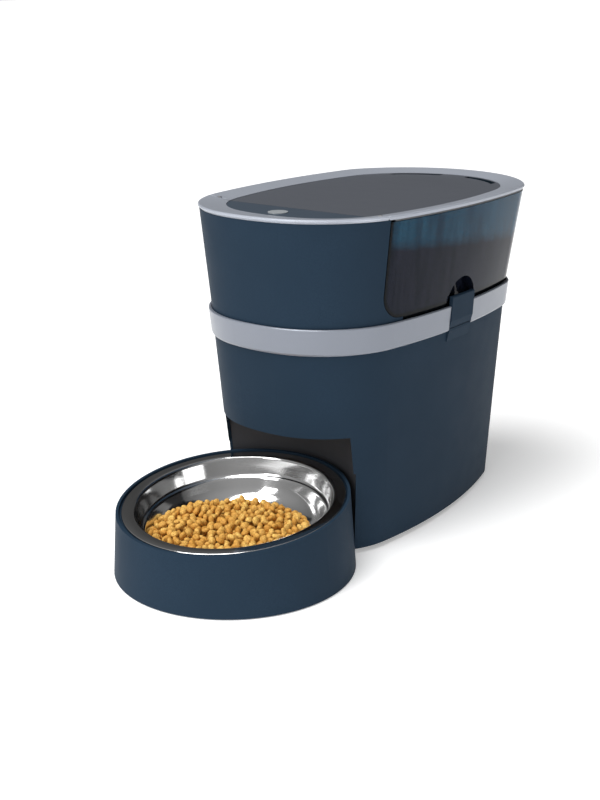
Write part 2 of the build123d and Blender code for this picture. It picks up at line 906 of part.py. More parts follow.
def boss_centres():
    """Bosses that carry the control board under the panel."""
    xs = (board_width / 2 - 4, 4 - board_width / 2)
    return [(x, y) for x in xs for y in (button_y - board_depth / 4, button_y + board_depth / 4)]


def control_board():
    half = board_width / 2
    y0 = button_y - board_depth / 2
    return block(-half, half, y0, y0 + board_depth, board_z, board_z + board_thickness)


def feed_button():
    flange_top = panel_bottom - fit_gap
    flange_bottom = flange_top - button_flange
    stem_bottom = board_z + board_thickness + switch_height + 1.2 + press_travel
    button = upright(0, button_y, flange_bottom, panel_top + button_proud, button_r)
    button += upright(0, button_y, flange_bottom, flange_top, button_flange_r)
    return button + upright(0, button_y, stem_bottom, flange_bottom, button_stem_r)


def button_switch():
    bottom = board_z + board_thickness
    half = switch_size / 2
    body = block(-half, half, button_y - half, button_y + half, bottom, bottom + switch_height)
    return body + upright(0, button_y, bottom + switch_height, bottom + switch_height + 1.2, plunger_r)


# Hopper
def finger_notch(grow, depth):
    """Arch over the latch, open downwards, in the frame of the latch."""
    half = notch_half_width + grow
    top = notch_top + grow
    spring = top - half * 0.75
    foot = hopper_lip_z - notch_skirt
    arch = Curve() + [
        Line((-half, foot), (-half, spring)),
        ThreePointArc((-half, spring), (0, top), (half, spring)),
        Line((half, spring), (half, foot)),
        Line((half, foot), (-half, foot)),
    ]
    face = Plane.YZ * make_face(arch).face()
    return on_latch(Pos(-depth, 0, 0) * extrude(face, depth + notch_skirt))


def hopper_bin():
    front = seam_y + seam_gap
    floor_z = upper_bottom + funnel_wall
    skin = upper_outer & window_solid(-0.01)
    skin &= block(-far, far, front, far, hopper_lip_z, hopper_top)
    plinth = plinth_tower(0) & block(-far, far, front, far, floor_z, hopper_lip_z + window_corner_r)
    solid = skin + plinth
    inner = tower(
        (band_line, upper_bottom, plinth_step + plinth_wall),
        (rim_line, rim_bottom, rim_overhang + hopper_wall),
    )
    inner &= block(-far, far, front + hopper_front_wall, far, floor_z + plinth_wall, far)
    pockets = []
    voids = []
    for side in both_sides(finger_notch(notch_wall, notch_depth + notch_wall)):
        pockets.append(side)
    for side in both_sides(finger_notch(0, notch_depth)):
        voids.append(side)
    bin_body = solid - (inner - pockets[0] - pockets[1])
    mouth = rounded_block(
        funnel_half_width,
        funnel_front,
        funnel_rear,
        floor_z - 1,
        floor_z + plinth_wall + 0.1,
        funnel_corner,
    )
    bin_body = bin_body - mouth - voids[0] - voids[1]
    return bin_body.solids().sort_by(SortBy.VOLUME)[-1]


# Lid
def bracket_x():
    """Inner edge of the right hinge bracket, under the thicker part of the rim."""
    return width_at(lid_line, seam_y) + bracket_inset


def hinge_brackets():
    x0 = bracket_x()
    x1 = x0 + bracket_width
    wall_back = seam_y + seam_gap + hopper_front_wall
    eye = cross_rod(x0, x1, seam_y, hinge_z, hinge_eye_r)
    arm = block(x0, x1, seam_y, wall_back + 2, hopper_top + fit_gap, hinge_z)
    foot = block(x0, x1, wall_back, wall_back + 2, hopper_top - 8, hinge_z)
    bracket = eye + arm + foot - cross_rod(0, far, seam_y, hinge_z, hinge_pin_r + press_gap)
    return group(*both_sides(bracket))


def lid_hinge_pins():
    x0 = bracket_x()
    return group(*both_sides(cross_rod(x0, x0 + hinge_pin_length, seam_y, hinge_z, hinge_pin_r)))


def lid_rim():
    whole = rim_ring()
    ring = whole & block(-far, far, seam_y, far, 0, far)
    barrel = whole & cross_rod(-far, far, seam_y, hinge_z, rim_thickness / 2)
    under = slab(lid_line, panel_bottom - ledge_thickness, rim_bottom, -4)
    under -= slab(lid_line, 0, far, ledge_width)
    under -= slab(lid_line, panel_bottom, far)
    under &= block(-far, far, seam_y + seam_gap + hopper_front_wall + 1, far, 0, far)
    rim = ring + barrel + under
    x0 = bracket_x()
    slot_back = seam_y + seam_gap + hopper_front_wall + 2 + part_gap
    barrel_end = x0 + bracket_width + part_gap
    slot = block(x0 - part_gap, barrel_end, seam_y, slot_back, 0, hinge_z + 0.1)
    eye_room = cross_rod(x0 - part_gap, barrel_end, seam_y, hinge_z, rim_thickness / 2 + press_gap)
    bore = cross_rod(0, x0 + hinge_pin_length + 0.5, seam_y, hinge_z, hinge_pin_r + running_gap)
    for cutter in both_sides(slot) + both_sides(eye_room) + both_sides(bore):
        rim -= cutter
    for cutter in both_sides(grip_zone(grip_wall + part_gap)):
        rim -= cutter & slab(lid_line, 0, rim_bottom, -5)
    return rim


def grip_zone(grow):
    """Upright block over the right-hand finger recess at the lid's rear edge."""
    x0 = grip_inner_x - grow
    x1 = grip_outer_x + grow
    return block(x0, x1, lid_line.waist + 60, lid_line.rear + 3, 0, rim_bottom)


def grip_crescent(bottom, top, inset, reach, grow):
    """Crescent between the lid's rear edge and the same edge moved forwards."""
    moved = Pos(0, -reach, 0) * slab(lid_line, bottom - 1, top + 1, inset)
    zone = block(grip_inner_x - grow, grip_outer_x + grow, lid_line.waist + 60, far, 0, far)
    return (slab(lid_line, bottom, top, inset) - moved) & zone


def lid_panel():
    front = seam_y + 0.1
    panel = slab(lid_line, panel_bottom, panel_top, part_gap) & block(-far, far, front, far, 0, far)
    cup_bottom = panel_top - grip_depth
    for side in (0, 1):
        outer_reach = grip_reach + grip_wall
        cup = grip_crescent(cup_bottom - grip_wall, panel_bottom, part_gap, outer_reach, grip_wall)
        panel += both_sides(cup)[side]
    for side in (0, 1):
        inner_reach = grip_reach - grip_wall
        hollow = grip_crescent(cup_bottom, panel_top + 1, part_gap + grip_wall, inner_reach, 0)
        panel -= both_sides(hollow)[side]
    return panel


def lid_seal():
    ring = slab(rim_line, rim_bottom - seal_thickness, rim_bottom, rim_overhang + 0.7)
    ring -= slab(rim_line, 0, far, rim_overhang + hopper_wall - 0.2)
    x0 = bracket_x()
    back = seam_y + seam_gap + hopper_front_wall + 3
    return ring & block(-far, far, back, far, 0, far)


# Bowl and holder, both square to the tilted rim plane
rim_plane = Pos(0, holder_y, holder_height) * Rot(holder_tilt, 0, 0)


def above_rim(radius):
    return rim_plane * (Pos(0, 0, 50) * Cylinder(radius, 100))


def holder_cone(shrink, bottom, top):
    """Upright cone of the holder's wall, made smaller by shrink."""
    slope = (holder_r - holder_top_r) / holder_height
    low_r = holder_r - slope * bottom - shrink
    high_r = holder_r - slope * top - shrink
    return Pos(0, holder_y, (bottom + top) / 2) * Cone(low_r, high_r, top - bottom)


def bowl_holder():
    cone_top = holder_height + 20
    body = holder_cone(0, holder_lift, cone_top) - above_rim(2 * holder_r)
    hollow = holder_cone(holder_wall, holder_lift + holder_floor, cone_top)
    seat_plane = rim_plane * Pos(0, 0, -holder_seat_depth)
    seat_r = holder_top_r - holder_wall - holder_seat_width
    seat = seat_plane * (Pos(0, 0, -1.5) * Cylinder(2 * holder_r, 3))
    seat -= seat_plane * Cylinder(seat_r, 20)
    body -= hollow - seat
    back = holder_y + holder_r
    half = tongue_width / 2
    tongue = block(-half, half, back - 12, back + tongue_reach, tongue_z, tongue_z + tongue_thickness)
    tongue -= holder_cone(holder_wall + 0.01, 0, cone_top)
    body += tongue
    return body


def holder_feet():
    pads = []
    for index in range(4):
        angle = radians(45 + 90 * index)
        x = holder_foot_ring_r * cos(angle)
        y = holder_y + holder_foot_ring_r * sin(angle)
        pads.append(upright(x, y, 0, holder_lift, holder_foot_r))
    return group(*pads)


def bowl_section(grow):
    """Half section of the bowl's inside, moved out by grow."""
    mouth = bowl_mouth_r + grow
    step_z = -17.0 - grow
    floor_z = -bowl_depth - grow
    return Curve() + [
        Line((0, 0.2), (mouth + 1.5, 0.2)),
        Line((mouth + 1.5, 0.2), (mouth + 1.5, 0)),
        Spline((mouth + 1.5, 0), (mouth - 1.5, -6), (mouth - 5.0, step_z)),
        Line((mouth - 5.0, step_z), (mouth - 7.5, step_z - 1.5)),
        Spline((mouth - 7.5, step_z - 1.5), (mouth - 14.0, step_z - 17), (mouth - 30.0, floor_z)),
        Line((mouth - 30.0, floor_z), (0, floor_z)),
        Line((0, floor_z), (0, 0.2)),
    ]


def food_bowl():
    inside = revolve(Plane.XZ * make_face(bowl_section(0)).face(), Axis.Z)
    outside = revolve(Plane.XZ * make_face(bowl_section(bowl_sheet)).face(), Axis.Z)
    flange = Pos(0, 0, -bowl_sheet / 2) * Cylinder(bowl_flange_r, bowl_sheet)
    lip = Pos(0, 0, -bowl_sheet * 1.4) * Cylinder(bowl_flange_r, bowl_sheet * 1.2)
    lip -= Pos(0, 0, -bowl_sheet * 1.4) * Cylinder(bowl_flange_r - bowl_sheet, bowl_sheet * 2)
    outside -= Pos(0, 0, 50) * Cylinder(holder_r, 100)
    shell = outside + flange + lip - inside
    seat_drop = holder_seat_depth - bowl_sheet * 2 - fit_gap
    return rim_plane * Pos(0, 0, -seat_drop) * shell


# Batteries, boards and inlet
def battery_box():
    wall = battery_wall
    half = battery_half_width
    outer = half + wall
    top = battery_top + wall
    box = block(-outer, outer, battery_front - wall, battery_rear + wall, base_top, top)
    return box - block(-half, half, battery_front, battery_rear, 0, battery_top)


def cell_rows():
    middle = (battery_front + battery_rear) / 2
    return [middle - cell_row_pitch / 2, middle + cell_row_pitch / 2]


cell_z = base_top + fit_gap + cell_r


def battery_cells():
    cells = []
    for y in cell_rows():
        for start in (-cell_length - cell_nub, 0.2):
            body = cross_rod(start, start + cell_length, y, cell_z, cell_r)
            nub = cross_rod(start + cell_length, start + cell_length + cell_nub, y, cell_z, cell_nub_r)
            cells.append(body + nub)
    return group(*cells)


def battery_contacts():
    shapes = []
    for y in cell_rows():
        plate = block(battery_half_width - 0.5, battery_half_width, y - 7, y + 7, cell_z - 7, cell_z + 7)
        tip = 0.2 + cell_length + cell_nub + fit_gap
        length = battery_half_width - 0.5 - tip
        cone = Pos(battery_half_width - 0.5 - length / 2, y, cell_z) * Rot(0, -90, 0) * Cone(5, 2.5, length)
        shapes += both_sides(plate + cone)
    return group(*shapes)


def battery_door():
    """Door that turns on pins at the ends of its front edge, with grip grooves at its rear."""
    half = battery_half_width + door_margin - part_gap
    door = block(-half, half, door_axis_y, battery_rear - part_gap, foot_height, base_top)
    door += cross_rod(-half, half, door_axis_y, door_axis_z, door_barrel_r)
    for index in range(5):
        y = battery_rear - 9 - 3 * index
        door -= block(-door_grip_half, door_grip_half, y, y + 1.2, 0, foot_height + 0.8)
    pin_end = battery_half_width + door_margin + door_pin_reach - part_gap
    return door + cross_rod(-pin_end, pin_end, door_axis_y, door_axis_z, door_pin_r)


def main_board():
    x1 = -(frame_outer + standoff)
    x0 = x1 - board_thickness
    return block(x0, x1, main_board_front, main_board_rear, main_board_bottom, main_board_top)


def board_chips():
    """Three chips, each by its place on the board, its width and its height."""
    face = -(frame_outer + standoff + board_thickness)
    chips = []
    for along, up, width, height in ((18, 16, 10, 10), (36, 10, 8, 6), (36, 21, 5, 4)):
        y0 = main_board_front + along - width / 2
        z0 = main_board_bottom + up - height / 2
        chips.append(block(face - chip_height, face, y0, y0 + width, z0, z0 + height))
    return group(*chips)


def wireless_module():
    face = -(frame_outer + standoff + board_thickness)
    y1 = main_board_rear - 8
    z0 = main_board_bottom + 7
    return block(face - module_height, face, y1 - 15, y1, z0, z0 + 18)


def power_inlet():
    y1 = inlet_wall_y()
    body = block(-7, 7, y1 - 14, y1, base_top, inlet_z + 6)
    barrel = Pos(0, y1 + shell_wall / 2, inlet_z) * Rot(90, 0, 0) * Cylinder(inlet_r, shell_wall)
    bore = Pos(0, y1 + shell_wall - 4.5, inlet_z) * Rot(90, 0, 0) * Cylinder(inlet_hole_r, 9.2)
    pin = Pos(0, y1 + shell_wall - 5.5, inlet_z) * Rot(90, 0, 0) * Cylinder(0.8, 8)
    return body + barrel - bore + pin


def inlet_wall_y():
    """Inner face of the rear wall at the height of the inlet."""
    share = (inlet_z + 6) / shoulder_z
    rear_low = foot_line.rear - shell_wall
    rear_high = band_line.rear - shoulder_step - shell_wall
    return rear_low + (rear_high - rear_low) * share - fit_gap


def main():
    right_latch = latch()
    front_band, rear_band = band()
    shaft_end = frame_outer + shaft_stub
    nodes = {
        "base_shell": base_shell(),
        "recess_liner": recess_liner(),
        "base_plate": base_plate(),
        "base_screws": group(*[screw(x, y) for x, y in posts()]),
        "frame_screws": group(*[screw(x, y) for x, y in leg_centres()]),
        "rubber_feet": rubber_feet(),
        "front_band": front_band,
        "rear_band": rear_band,
        "latch_right": right_latch,
        "latch_left": mirror(right_latch, Plane.YZ),
        "latch_pins": group(*both_sides(latch_pin())),
        "deck_plate": deck_plate(),
        "feed_funnel": feed_funnel(),
        "discharge_hood": discharge_hood(),
        "conveyor_frame": conveyor_frame(),
        "conveyor_belt": conveyor_belt(),
        "drive_roller": roller(rear_roller_y),
        "idle_roller": roller(front_roller_y),
        "drive_shaft": cross_rod(-shaft_end, axle_end_x, rear_roller_y, roller_z, shaft_r),
        "idle_shaft": cross_rod(-shaft_end, shaft_end, front_roller_y, roller_z, shaft_r),
        "roller_bushings": roller_bushings(),
        "roller_gear": roller_gear(),
        "compound_gear": compound_gear(),
        "motor_pinion": motor_pinion(),
        "motor_shaft": motor_shaft(),
        "gear_motor": gear_motor(),
        "gear_plate": gear_plate(),
        "gear_plate_screws": gear_plate_screws(),
        "gear_axle": gear_axle(),
        "front_shell": front_shell(),
        "front_rim": front_rim(),
        "control_panel": control_panel(),
        "control_board": control_board(),
        "feed_button": feed_button(),
        "button_switch": button_switch(),
        "hopper_bin": hopper_bin(),
        "hinge_brackets": hinge_brackets(),
        "lid_hinge_pins": lid_hinge_pins(),
        "lid_rim": lid_rim(),
        "lid_panel": lid_panel(),
        "lid_seal": lid_seal(),
        "bowl_holder": bowl_holder(),
        "holder_feet": holder_feet(),
        "food_bowl": food_bowl(),
        "battery_box": battery_box(),
        "battery_cells": battery_cells(),
        "battery_contacts": battery_contacts(),
        "battery_door": battery_door(),
        "main_board": main_board(),
        "board_chips": board_chips(),
        "wireless_module": wireless_module(),
        "power_inlet": power_inlet(),
    }
    os.makedirs("parts", exist_ok=True)
    for name, shape in nodes.items():
        export_step(shape, f"parts/{name}.step")


main()
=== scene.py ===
"""Looks of the pet feeder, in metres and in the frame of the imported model."""

import json
import random
from math import atan2, cos, hypot, pi, radians, sin, sqrt

import bmesh
import bpy
from mathutils import Euler, Matrix, Vector, noise
from mathutils.bvhtree import BVHTree


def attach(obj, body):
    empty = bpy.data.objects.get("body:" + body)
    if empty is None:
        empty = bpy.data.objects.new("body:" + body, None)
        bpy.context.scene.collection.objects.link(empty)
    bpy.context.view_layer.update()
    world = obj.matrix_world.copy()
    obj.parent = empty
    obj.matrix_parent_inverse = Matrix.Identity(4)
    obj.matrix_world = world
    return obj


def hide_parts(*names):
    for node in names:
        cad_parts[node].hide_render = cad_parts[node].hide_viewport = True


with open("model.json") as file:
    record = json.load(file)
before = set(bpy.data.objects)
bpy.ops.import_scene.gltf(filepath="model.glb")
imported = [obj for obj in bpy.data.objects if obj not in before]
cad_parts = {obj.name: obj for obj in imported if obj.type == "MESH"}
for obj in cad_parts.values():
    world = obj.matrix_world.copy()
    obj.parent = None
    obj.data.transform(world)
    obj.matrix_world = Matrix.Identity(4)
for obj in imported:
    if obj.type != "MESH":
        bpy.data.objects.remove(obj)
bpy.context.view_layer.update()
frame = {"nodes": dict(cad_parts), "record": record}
nodes = frame["nodes"]
MM = 0.001


# Materials
def material(name):
    """New node material with a Principled shader; returns its tree and shader."""
    mat = bpy.data.materials.new(name)
    mat.use_nodes = True
    tree = mat.node_tree
    tree.nodes.clear()
    output = tree.nodes.new("ShaderNodeOutputMaterial")
    shader = tree.nodes.new("ShaderNodeBsdfPrincipled")
    tree.links.new(shader.outputs["BSDF"], output.inputs["Surface"])
    return mat, tree, shader


def place(tree):
    """Coordinates that stay with the piece, in metres."""
    return tree.nodes.new("ShaderNodeTexCoord").outputs["Object"]


def grain(tree, vector, scale, detail=2.0, rough=0.5):
    node = tree.nodes.new("ShaderNodeTexNoise")
    node.inputs["Scale"].default_value = scale
    node.inputs["Detail"].default_value = detail
    node.inputs["Roughness"].default_value = rough
    tree.links.new(vector, node.inputs["Vector"])
    return node.outputs["Fac"]


def spread(tree, value, low, high, start=0.3, end=0.7):
    """Maps a 0 to 1 value, taken between start and end, to low to high."""
    node = tree.nodes.new("ShaderNodeMapRange")
    node.inputs["From Min"].default_value = start
    node.inputs["From Max"].default_value = end
    node.inputs["To Min"].default_value = low
    node.inputs["To Max"].default_value = high
    tree.links.new(value, node.inputs["Value"])
    return node.outputs["Result"]


def blend_colour(tree, factor, first, second):
    node = tree.nodes.new("ShaderNodeMix")
    node.data_type = "RGBA"
    tree.links.new(factor, node.inputs["Factor"])
    a = [s for s in node.inputs if s.name == "A" and s.type == "RGBA"][0]
    b = [s for s in node.inputs if s.name == "B" and s.type == "RGBA"][0]
    for socket, value in ((a, first), (b, second)):
        if isinstance(value, tuple):
            socket.default_value = (*value, 1.0)
        else:
            tree.links.new(value, socket)
    return [s for s in node.outputs if s.type == "RGBA"][0]


def bump(tree, shader, height, strength, distance):
    node = tree.nodes.new("ShaderNodeBump")
    node.inputs["Strength"].default_value = strength
    node.inputs["Distance"].default_value = distance
    tree.links.new(height, node.inputs["Height"])
    tree.links.new(node.outputs["Normal"], shader.inputs["Normal"])


def scaled(colour, k):
    return tuple(min(1.0, c * k) for c in colour)


COAT_ROUGHNESS = 0.12


def moulded(
    name,
    colour,
    rough,
    grain_scale,
    grain_depth,
    metal=0.0,
    coat=0.0,
    tint=0.10,
    spec=0.5,
    wear=0.05,
):
    """Moulded or painted surface: cloudy tone, uneven gloss and a fine grain."""
    mat, tree, shader = material(name)
    where = place(tree)
    cloud = spread(tree, grain(tree, where, 14.0, 3.0), 0.0, 1.0)
    tone = blend_colour(tree, cloud, scaled(colour, 1.0 - tint), scaled(colour, 1.0 + tint))
    speck = spread(tree, grain(tree, where, grain_scale * 0.5, 1.0), 0.0, 1.0)
    tone = blend_colour(tree, speck, tone, scaled(colour, 1.0 - tint * 0.5))
    tree.links.new(tone, shader.inputs["Base Color"])
    gloss = spread(tree, grain(tree, where, 35.0, 4.0), rough - wear, rough + wear)
    tree.links.new(gloss, shader.inputs["Roughness"])
    shader.inputs["Metallic"].default_value = metal
    shader.inputs["Specular IOR Level"].default_value = spec
    shader.inputs["Coat Weight"].default_value = coat
    shader.inputs["Coat Roughness"].default_value = COAT_ROUGHNESS
    bump(tree, shader, grain(tree, where, grain_scale, 3.0, 0.6), 0.5, grain_depth)
    return mat


def combine(tree, operation, first, second):
    """Math node on two values, each a socket or a number."""
    node = tree.nodes.new("ShaderNodeMath")
    node.operation = operation
    for socket, value in zip(node.inputs, (first, second)):
        if isinstance(value, (int, float)):
            socket.default_value = value
        else:
            tree.links.new(value, socket)
    return node.outputs[0]


# The hopper's clear wall, in metres: its front and lower edges, the radius of its front lower
# corner, and the range of depths in which its edge turns dark
WINDOW_FRONT = -0.0426
WINDOW_FOOT = 0.225
WINDOW_CORNER = 0.022
BORDER_OUTER = 0.0018
BORDER_INNER = 0.0034
BORDER_TONE = (0.006, 0.008, 0.010)
# Blue of the wall above the food: the plastic's own tint brightened with painted light, as if lit
# through the empty bin; near-black against the food: painted shade
BACKLIT_BLUE_DARK = (0.010, 0.055, 0.110)
BACKLIT_BLUE_LIGHT = (0.024, 0.130, 0.225)
FOOD_SHADE_DARK = (0.005, 0.010, 0.020)
FOOD_SHADE_LIGHT = (0.022, 0.026, 0.046)
# Height of the food's top against the wall, at the front and at the rear, and its waviness
FOOD_LINE = ((-0.04, 0.290), (0.18, 0.270))
FOOD_WAVE = 0.004
# Share of the light let through the wall against the food and above it; less against the food, as
# part of the painted shade
FOOD_SHADE_CLEARNESS = 0.45
BACKLIT_CLEARNESS = 0.62


def smoky():
    """Clear dark moulding: its blue tint brightened with painted light above the food, painted
    shade against it, darkest at its edge.
    """
    mat, tree, shader = material("smoky_plastic")
    where = place(tree)
    split = tree.nodes.new("ShaderNodeSeparateXYZ")
    tree.links.new(where, split.inputs["Vector"])
    (front_y, front_z), (rear_y, rear_z) = FOOD_LINE
    line = spread(tree, split.outputs["Y"], front_z, rear_z, front_y, rear_y)
    wave = spread(tree, grain(tree, where, 55.0, 2.0), -FOOD_WAVE, FOOD_WAVE, 0.0, 1.0)
    above = combine(tree, "SUBTRACT", split.outputs["Z"], combine(tree, "ADD", line, wave))
    clear = spread(tree, above, 0.0, 1.0, -0.004, 0.007)
    long_way = tree.nodes.new("ShaderNodeVectorMath")
    long_way.operation = "MULTIPLY"
    tree.links.new(where, long_way.inputs[0])
    long_way.inputs[1].default_value = (1.0, 1.0, 0.06)
    streak = spread(tree, grain(tree, long_way.outputs[0], 130.0, 3.0), 0.0, 1.0)
    # Painted shade where food lies behind the wall, blue with painted light where the bin behind it
    # is empty
    food_shade = blend_colour(tree, streak, FOOD_SHADE_DARK, FOOD_SHADE_LIGHT)
    blue = blend_colour(tree, streak, BACKLIT_BLUE_DARK, BACKLIT_BLUE_LIGHT)
    tone = blend_colour(tree, clear, food_shade, blue)
    border = window_border(tree, split)
    tree.links.new(blend_colour(tree, border, tone, BORDER_TONE), shader.inputs["Base Color"])
    gloss = spread(tree, grain(tree, where, 40.0, 4.0), 0.05, 0.09)
    tree.links.new(gloss, shader.inputs["Roughness"])
    # Less light let through against the food: part of the painted shade
    haze = spread(tree, clear, FOOD_SHADE_CLEARNESS, BACKLIT_CLEARNESS, 0.0, 1.0)
    tree.links.new(haze, shader.inputs["Transmission Weight"])
    shader.inputs["IOR"].default_value = 1.25
    shader.inputs["Specular IOR Level"].default_value = 0.12
    bump(tree, shader, grain(tree, where, 60.0, 2.0), 0.15, 0.0002)
    return mat


def window_border(tree, split):
    """1 along the front and lower edges of the clear wall, with their rounded corner, else 0."""
    corner = WINDOW_CORNER
    side = spread(tree, split.outputs["Y"], corner, 0.0, WINDOW_FRONT, WINDOW_FRONT + corner)
    foot = spread(tree, split.outputs["Z"], corner, 0.0, WINDOW_FOOT, WINDOW_FOOT + corner)
    side_square = combine(tree, "MULTIPLY", side, side)
    foot_square = combine(tree, "MULTIPLY", foot, foot)
    reach = combine(tree, "SQRT", combine(tree, "ADD", side_square, foot_square), 0.0)
    return spread(tree, reach, 0.0, 1.0, corner - BORDER_INNER, corner - BORDER_OUTER)


def turned_steel(name, colour, rough, ring_scale, centre=(0.0, 0.0), depth=0.00001):
    """Spun or turned metal: fine rings about an upright axis through centre."""
    mat, tree, shader = material(name)
    where = place(tree)
    split = tree.nodes.new("ShaderNodeSeparateXYZ")
    tree.links.new(where, split.inputs["Vector"])
    join = tree.nodes.new("ShaderNodeCombineXYZ")
    squares = []
    for axis, offset in zip("XY", centre):
        away = combine(tree, "SUBTRACT", split.outputs[axis], offset)
        squares.append(combine(tree, "MULTIPLY", away, away))
    radius = combine(tree, "SQRT", combine(tree, "ADD", *squares), 0.0)
    tree.links.new(radius, join.inputs["X"])
    tree.links.new(split.outputs["Z"], join.inputs["Z"])
    rings = grain(tree, join.outputs["Vector"], ring_scale, 2.0, 0.6)
    cloud = spread(tree, grain(tree, where, 22.0, 3.0), 0.0, 1.0)
    tone = blend_colour(tree, cloud, scaled(colour, 0.93), scaled(colour, 1.05))
    tree.links.new(tone, shader.inputs["Base Color"])
    gloss = spread(tree, rings, rough * 0.75, rough * 1.35)
    tree.links.new(gloss, shader.inputs["Roughness"])
    shader.inputs["Metallic"].default_value = 1.0
    bump(tree, shader, rings, 0.4, depth)
    return mat


def kibble_material(name, light, dark):
    """Baked crumb: each piece its own tone, porous, with darker crust."""
    mat, tree, shader = material(name)
    where = place(tree)
    tone = tree.nodes.new("ShaderNodeVertexColor")
    tone.layer_name = "tone"
    split = tree.nodes.new("ShaderNodeSeparateColor")
    tree.links.new(tone.outputs["Color"], split.inputs["Color"])
    piece = blend_colour(tree, split.outputs["Red"], dark, light)
    pores = spread(tree, grain(tree, where, 900.0, 4.0, 0.7), 0.0, 1.0, 0.35, 0.6)
    crust = blend_colour(tree, pores, scaled(dark, 0.55), piece)
    patch = spread(tree, grain(tree, where, 240.0, 3.0), 0.0, 0.45, 0.4, 0.75)
    tree.links.new(blend_colour(tree, patch, crust, scaled(dark, 0.8)), shader.inputs["Base Color"])
    gloss = spread(tree, grain(tree, where, 500.0, 3.0), 0.5, 0.8)
    tree.links.new(gloss, shader.inputs["Roughness"])
    shader.inputs["Specular IOR Level"].default_value = 0.35
    bump(tree, shader, grain(tree, where, 700.0, 5.0, 0.7), 0.8, 0.0006)
    return mat


NAVY = (0.0175, 0.0335, 0.0550)
# One silver paint in two copies: the darker one, on the band and other parts in the silver slot, is
# painted shade; the lighter one, on the rims' upward faces, is painted light
SILVER_SHADED = (0.20, 0.22, 0.262)
SILVER_LIT = (0.40, 0.43, 0.49)
RECESS_GREY = (0.047, 0.048, 0.053)
LID_GREY = (0.083, 0.090, 0.107)
PANEL_BLUE = (0.047, 0.066, 0.092)
BUTTON_GREY = (0.45, 0.48, 0.50)
BOARD_GREEN = (0.012, 0.075, 0.030)
PAINT = {"metal": 0.20, "coat": 0.30, "tint": 0.04, "wear": 0.03}
SATIN = {"tint": 0.03, "wear": 0.01}
finish = {
    "navy_plastic": moulded("navy_plastic", NAVY, 0.52, 1500.0, 0.00006, spec=0.04, wear=0.03),
    "silver_paint": moulded("silver_paint", SILVER_SHADED, 0.36, 3200.0, 0.00002, **PAINT),
    "silver_lit_rim": moulded("silver_lit_rim", SILVER_LIT, 0.34, 3200.0, 0.00002, **PAINT),
    "recess_dark": moulded("recess_dark", RECESS_GREY, 0.5, 1500.0, 0.00006, spec=0.10, wear=0.03),
    "smoky_plastic": smoky(),
    "lid_plastic": moulded("lid_plastic", LID_GREY, 0.34, 900.0, 0.00001, spec=0.35, **SATIN),
    "panel_plastic": moulded("panel_plastic", PANEL_BLUE, 0.30, 900.0, 0.00001, spec=0.30, **SATIN),
    "button_plastic": moulded("button_plastic", BUTTON_GREY, 0.30, 1200.0, 0.00002, metal=0.3),
    "inner_plastic": moulded("inner_plastic", (0.014, 0.015, 0.017), 0.5, 1100.0, 0.00008),
    "white_plastic": moulded("white_plastic", (0.62, 0.62, 0.58), 0.42, 900.0, 0.00003),
    "belt_rubber": moulded("belt_rubber", (0.012, 0.012, 0.013), 0.7, 1800.0, 0.0001),
    "soft_rubber": moulded("soft_rubber", (0.010, 0.010, 0.011), 0.75, 1600.0, 0.0001),
    "seal_rubber": moulded("seal_rubber", (0.10, 0.105, 0.11), 0.6, 1500.0, 0.00006),
    "bowl_steel": turned_steel("bowl_steel", (0.60, 0.60, 0.60), 0.13, 2600.0),
    "pin_steel": turned_steel("pin_steel", (0.52, 0.52, 0.53), 0.28, 1800.0),
    "bushing_brass": turned_steel("bushing_brass", (0.50, 0.34, 0.14), 0.35, 1500.0),
    "circuit_board": moulded("circuit_board", BOARD_GREEN, 0.35, 700.0, 0.00005, coat=0.3),
    "chip_black": moulded("chip_black", (0.009, 0.009, 0.010), 0.5, 2500.0, 0.00003),
    "cell_wrap": moulded("cell_wrap", (0.020, 0.021, 0.024), 0.25, 500.0, 0.00002, coat=0.5),
    "contact_steel": turned_steel("contact_steel", (0.65, 0.65, 0.64), 0.22, 1400.0),
}
# Nodes with a finish of their own instead of their slot's; the rims take the lighter copy of the
# silver paint, as painted light
OWN_FINISH = {"front_rim": "silver_lit_rim", "lid_rim": "silver_lit_rim", "recess_liner": "recess_dark"}
# Top of the lid, in metres, and the teal-black of the painted shade below it, in its recesses and
# on its underside
LID_TOP = 0.3144
RECESS_PAINTED_SHADE = (0.007, 0.016, 0.024)


def paint_recess_shade(mat):
    """Painted shade on the lid below its top: a teal-black tone in the finger recesses and on the
    underside.
    """
    tree = mat.node_tree
    shader = [node for node in tree.nodes if node.type == "BSDF_PRINCIPLED"][0]
    tone = shader.inputs["Base Color"].links[0].from_socket
    split = tree.nodes.new("ShaderNodeSeparateXYZ")
    tree.links.new(place(tree), split.inputs["Vector"])
    top = spread(tree, split.outputs["Z"], 0.0, 1.0, LID_TOP - 0.0008, LID_TOP - 0.0002)
    tree.links.new(blend_colour(tree, top, RECESS_PAINTED_SHADE, tone), shader.inputs["Base Color"])


paint_recess_shade(finish["lid_plastic"])
slot_of = {part["node"]: part["material_slot"] for part in frame["record"]["subparts"]}
for name, obj in nodes.items():
    obj.data.materials.clear()
    obj.data.materials.append(finish[OWN_FINISH.get(name, slot_of[name])])


def new_piece(name, mesh, body, mat):
    """Links a bmesh as a piece that rides on a body."""
    data = bpy.data.meshes.new(name)
    mesh.to_mesh(data)
    mesh.free()
    for face in data.polygons:
        face.use_smooth = True
    data.materials.append(mat)
    obj = bpy.data.objects.new(name, data)
    bpy.context.scene.collection.objects.link(obj)
    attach(obj, body)
    return obj


